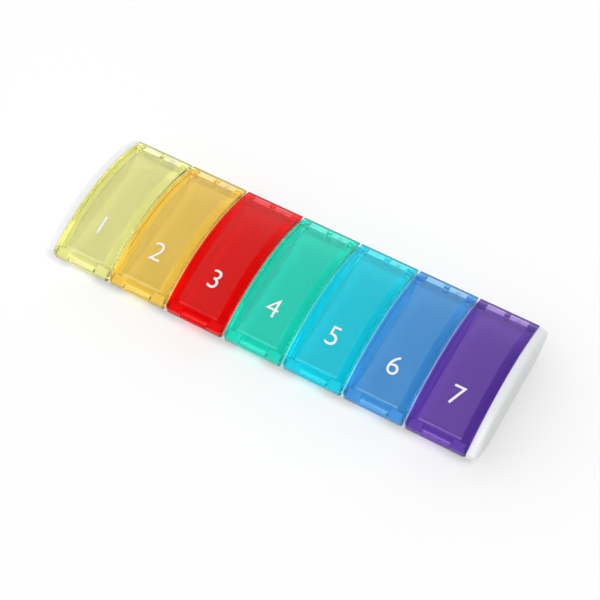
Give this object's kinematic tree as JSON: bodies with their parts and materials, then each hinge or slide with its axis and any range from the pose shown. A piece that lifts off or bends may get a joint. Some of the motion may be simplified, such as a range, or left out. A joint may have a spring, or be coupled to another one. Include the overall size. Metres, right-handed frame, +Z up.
{
  "type": "weekly pill organizer",
  "caption": "Row of pill compartments in a shallow white tray, each under its own arched translucent coloured lid that hinges at the back and opens by a thumb tab.",
  "frame": {"origin": "centre of the face it stands on, under the middle compartment", "axes": "+X along the row from the first day to the last, +Y from the thumb tabs to the hinges, +Z up"},
  "size_m": [0.204, 0.068, 0.0212],
  "materials": {
    "white": "satin moulded plastic",
    "lid_sun": "clear yellow-green plastic with a frosted window",
    "lid_mon": "clear amber plastic with a frosted window",
    "lid_tue": "clear red plastic with a frosted window",
    "lid_wed": "clear green plastic with a frosted window",
    "lid_thu": "clear cyan plastic with a frosted window",
    "lid_fri": "clear blue plastic with a frosted window",
    "lid_sat": "clear purple plastic with a frosted window",
    "pin": "satin moulded plastic"
  },
  "bodies": {
    "tray": {"tray": "white", "divider_sun_mon": "white", "divider_mon_tue": "white", "divider_tue_wed": "white", "divider_wed_thu": "white", "divider_thu_fri": "white", "divider_fri_sat": "white", "hinge_pin_sun": "pin", "hinge_pin_mon": "pin", "hinge_pin_tue": "pin", "hinge_pin_wed": "pin", "hinge_pin_thu": "pin", "hinge_pin_fri": "pin", "hinge_pin_sat": "pin"},
    "lid_sun": {"lid_sun": "lid_sun"},
    "lid_mon": {"lid_mon": "lid_mon"},
    "lid_tue": {"lid_tue": "lid_tue"},
    "lid_wed": {"lid_wed": "lid_wed"},
    "lid_thu": {"lid_thu": "lid_thu"},
    "lid_fri": {"lid_fri": "lid_fri"},
    "lid_sat": {"lid_sat": "lid_sat"}
  },
  "joints": [
    {"name": "lid_sun_hinge", "type": "hinge", "parent": "tray", "child": "lid_sun", "pos_m": [-0.084, 0.0316, 0.01038], "axis": [-1, 0, 0], "range_deg": [0, 110]},
    {"name": "lid_mon_hinge", "type": "hinge", "parent": "tray", "child": "lid_mon", "pos_m": [-0.056, 0.0316, 0.01038], "axis": [-1, 0, 0], "range_deg": [0, 110]},
    {"name": "lid_tue_hinge", "type": "hinge", "parent": "tray", "child": "lid_tue", "pos_m": [-0.028, 0.0316, 0.01038], "axis": [-1, 0, 0], "range_deg": [0, 110]},
    {"name": "lid_wed_hinge", "type": "hinge", "parent": "tray", "child": "lid_wed", "pos_m": [0, 0.0316, 0.01038], "axis": [-1, 0, 0], "range_deg": [0, 110]},
    {"name": "lid_thu_hinge", "type": "hinge", "parent": "tray", "child": "lid_thu", "pos_m": [0.028, 0.0316, 0.01038], "axis": [-1, 0, 0], "range_deg": [0, 110]},
    {"name": "lid_fri_hinge", "type": "hinge", "parent": "tray", "child": "lid_fri", "pos_m": [0.056, 0.0316, 0.01038], "axis": [-1, 0, 0], "range_deg": [0, 110]},
    {"name": "lid_sat_hinge", "type": "hinge", "parent": "tray", "child": "lid_sat", "pos_m": [0.084, 0.0316, 0.01038], "axis": [-1, 0, 0], "range_deg": [0, 110]}
  ]
}
